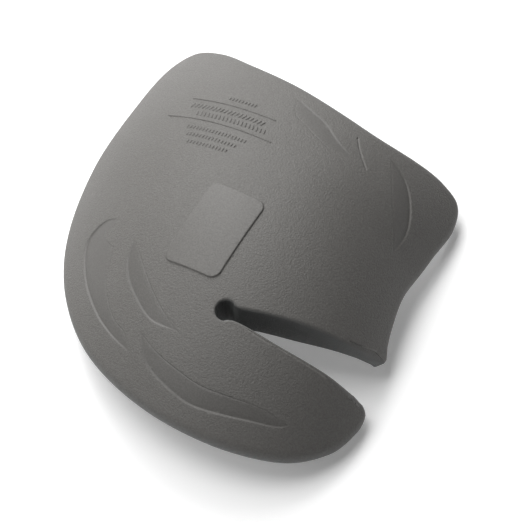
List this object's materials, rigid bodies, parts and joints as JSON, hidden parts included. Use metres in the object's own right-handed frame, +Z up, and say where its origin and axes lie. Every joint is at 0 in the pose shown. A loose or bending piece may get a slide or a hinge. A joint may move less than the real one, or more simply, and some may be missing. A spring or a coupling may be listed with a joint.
{
  "type": "moulded foam hip pad",
  "caption": "Moulded one-piece foam pad for the right hip: a domed shell, hollow underneath, with a slot from one side to a round hole.",
  "frame": {"origin": "on the floor under the middle of the pad's bounding box, where it rests dome up on its rim", "axes": "+Z up out of the dome, +Y towards the waist edge, +X towards the slotted side"},
  "size_m": [0.1868, 0.2068, 0.063],
  "materials": {
    "foam": "matte dark grey skin with a fine leather grain, smooth in the recesses and on the label plateau"
  },
  "bodies": {
    "root": {"hip_pad": "foam"}
  },
  "joints": []
}
